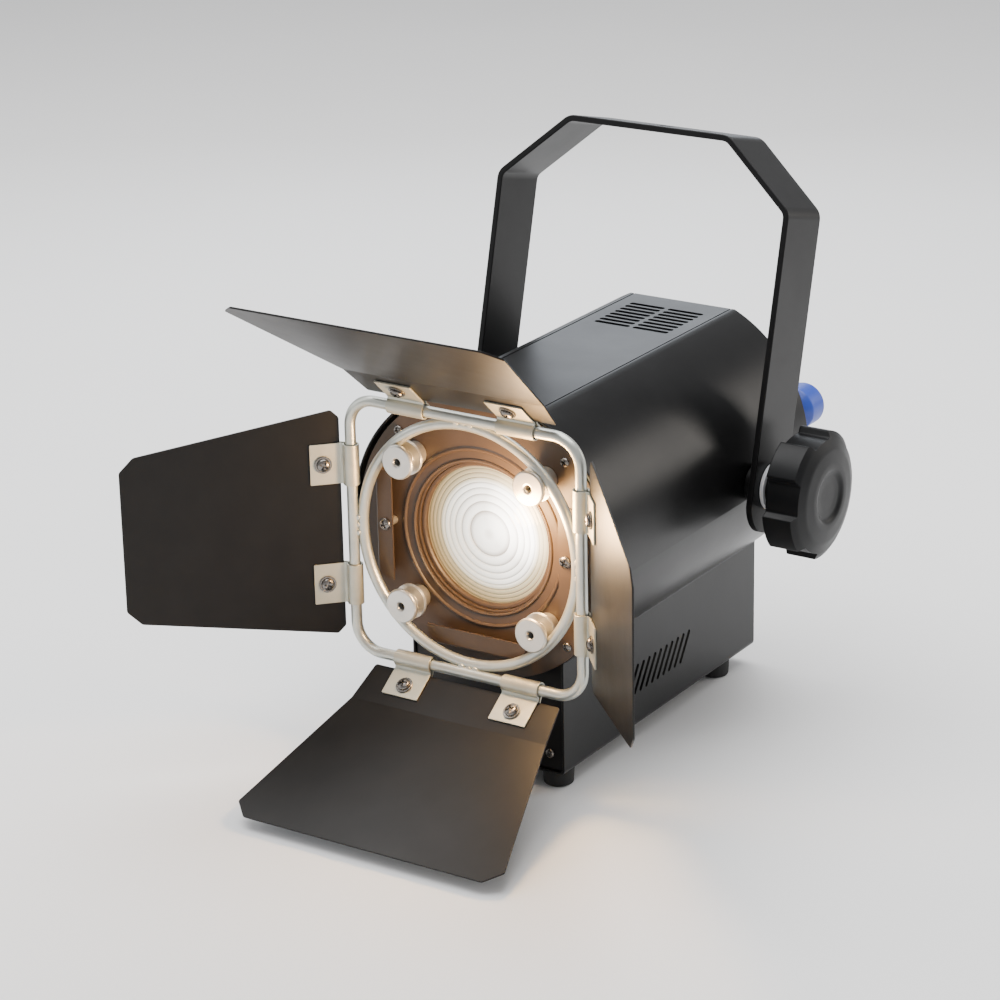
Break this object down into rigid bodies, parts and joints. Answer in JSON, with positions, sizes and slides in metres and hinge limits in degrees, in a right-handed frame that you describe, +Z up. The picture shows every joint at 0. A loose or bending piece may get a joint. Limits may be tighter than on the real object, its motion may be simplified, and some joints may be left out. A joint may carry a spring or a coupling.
{
  "type": "fresnel spotlight",
  "caption": "Compact fresnel spotlight with a turning barn door of hinged leaves, a tilting strap yoke with a clamp knob, and a focusing light source inside a box-based housing.",
  "frame": {"origin": "on the surface that the feet stand on, under the middle of the whole light's box, in the lens axis's vertical plane to within 3 mm", "axes": "+Z up, +Y towards the rear along the lens axis, so the light leaves towards -Y; +X to the side of the clamp knob"},
  "size_m": [0.363, 0.4116, 0.3709],
  "materials": {
    "coat_black": "satin black powder coat, fine texture",
    "leaf_coat": "matt black paint",
    "bright_wire": "satin bright wire",
    "zinc_plate": "dull zinc plate",
    "aluminium": "machined",
    "foot_rubber": "matt moulded rubber",
    "knob_black": "fine grained black plastic",
    "knob_blue": "moulded royal blue plastic",
    "lens_glass": "clear pressed glass, lit warm white from behind",
    "pale_plastic": "off-white"
  },
  "bodies": {
    "housing": {"upper_shell": "coat_black", "lower_body": "coat_black", "front_plate": "coat_black", "rear_panel": "coat_black", "base_front_panel": "coat_black", "foot_front_left": "foot_rubber", "foot_rear_left": "foot_rubber", "foot_front_right": "foot_rubber", "foot_rear_right": "foot_rubber", "lens_tube": "coat_black", "lens_retaining_ring": "aluminium", "fresnel_lens": "lens_glass", "gel_runner_bottom": "coat_black", "gel_runner_left": "coat_black", "gel_runner_right": "coat_black", "ring_spool_upper_left": "aluminium", "ring_spool_upper_right": "aluminium", "ring_spool_lower_left": "aluminium", "ring_spool_lower_right": "aluminium", "guide_rod_left": "aluminium", "guide_rod_right": "aluminium", "led_driver": "zinc_plate", "power_inlet": "knob_black", "safety_loop": "bright_wire", "focus_bushing": "knob_black", "pivot_bolt": "zinc_plate", "pivot_nut_left": "zinc_plate", "pivot_nut_right": "zinc_plate", "yoke_spacer_left": "zinc_plate", "yoke_spacer_right": "zinc_plate"},
    "carriage": {"carriage_plate": "aluminium", "heat_sink": "aluminium", "led_module": "pale_plastic", "reflector": "aluminium"},
    "focus_screw": {"focus_spindle": "zinc_plate", "focus_knob": "knob_blue"},
    "yoke": {"yoke": "coat_black"},
    "tilt_knob": {"tilt_knob": "knob_black", "knob_washer": "pale_plastic"},
    "barndoor": {"barndoor_frame": "bright_wire"},
    "top_leaf": {"top_leaf": "leaf_coat", "top_leaf_clip_a": "zinc_plate", "top_leaf_clip_b": "zinc_plate", "top_leaf_screw_a": "zinc_plate", "top_leaf_screw_b": "zinc_plate"},
    "right_leaf": {"right_leaf": "leaf_coat", "right_leaf_clip_a": "zinc_plate", "right_leaf_clip_b": "zinc_plate", "right_leaf_screw_a": "zinc_plate", "right_leaf_screw_b": "zinc_plate"},
    "bottom_leaf": {"bottom_leaf": "leaf_coat", "bottom_leaf_clip_a": "zinc_plate", "bottom_leaf_clip_b": "zinc_plate", "bottom_leaf_screw_a": "zinc_plate", "bottom_leaf_screw_b": "zinc_plate"},
    "left_leaf": {"left_leaf": "leaf_coat", "left_leaf_clip_a": "zinc_plate", "left_leaf_clip_b": "zinc_plate", "left_leaf_screw_a": "zinc_plate", "left_leaf_screw_b": "zinc_plate"}
  },
  "joints": [
    {"name": "yoke_tilt", "type": "hinge", "parent": "housing", "child": "yoke", "pos_m": [0, 0.10025, 0.158], "axis": [1, 0, 0], "range_deg": [-114, 61]},
    {"name": "tilt_knob_turn", "type": "hinge", "parent": "housing", "child": "tilt_knob", "pos_m": [0, 0.10025, 0.158], "axis": [1, 0, 0], "range_deg": [0, 540]},
    {"name": "barndoor_turn", "type": "hinge", "parent": "housing", "child": "barndoor", "pos_m": [0, -0.08625, 0.158], "axis": [0, 1, 0], "continuous": true},
    {"name": "top_leaf_fold", "type": "hinge", "parent": "barndoor", "child": "top_leaf", "pos_m": [0, -0.08625, 0.24], "axis": [1, 0, 0], "range_deg": [-47.2, 72.8]},
    {"name": "bottom_leaf_fold", "type": "hinge", "parent": "barndoor", "child": "bottom_leaf", "pos_m": [0, -0.08625, 0.076], "axis": [-1, 0, 0], "range_deg": [-55.6, 64.4]},
    {"name": "right_leaf_fold", "type": "hinge", "parent": "barndoor", "child": "right_leaf", "pos_m": [0.082, -0.08625, 0.158], "axis": [0, 0, 1], "range_deg": [-73, 49]},
    {"name": "left_leaf_fold", "type": "hinge", "parent": "barndoor", "child": "left_leaf", "pos_m": [-0.082, -0.08625, 0.158], "axis": [0, 0, -1], "range_deg": [-76.1, 45.9]},
    {"name": "focus_slide", "type": "slide", "parent": "housing", "child": "carriage", "axis": [0, -1, 0], "range_m": [0, 0.032]},
    {"name": "focus_knob_turn", "type": "hinge", "parent": "housing", "child": "focus_screw", "pos_m": [0.077, 0.19375, 0.178], "axis": [0, 1, 0], "range_deg": [0, 1441]}
  ],
  "couplings": [
    {"joint": "focus_knob_turn", "follows": "focus_slide", "rad_per_m": 785.4}
  ]
}
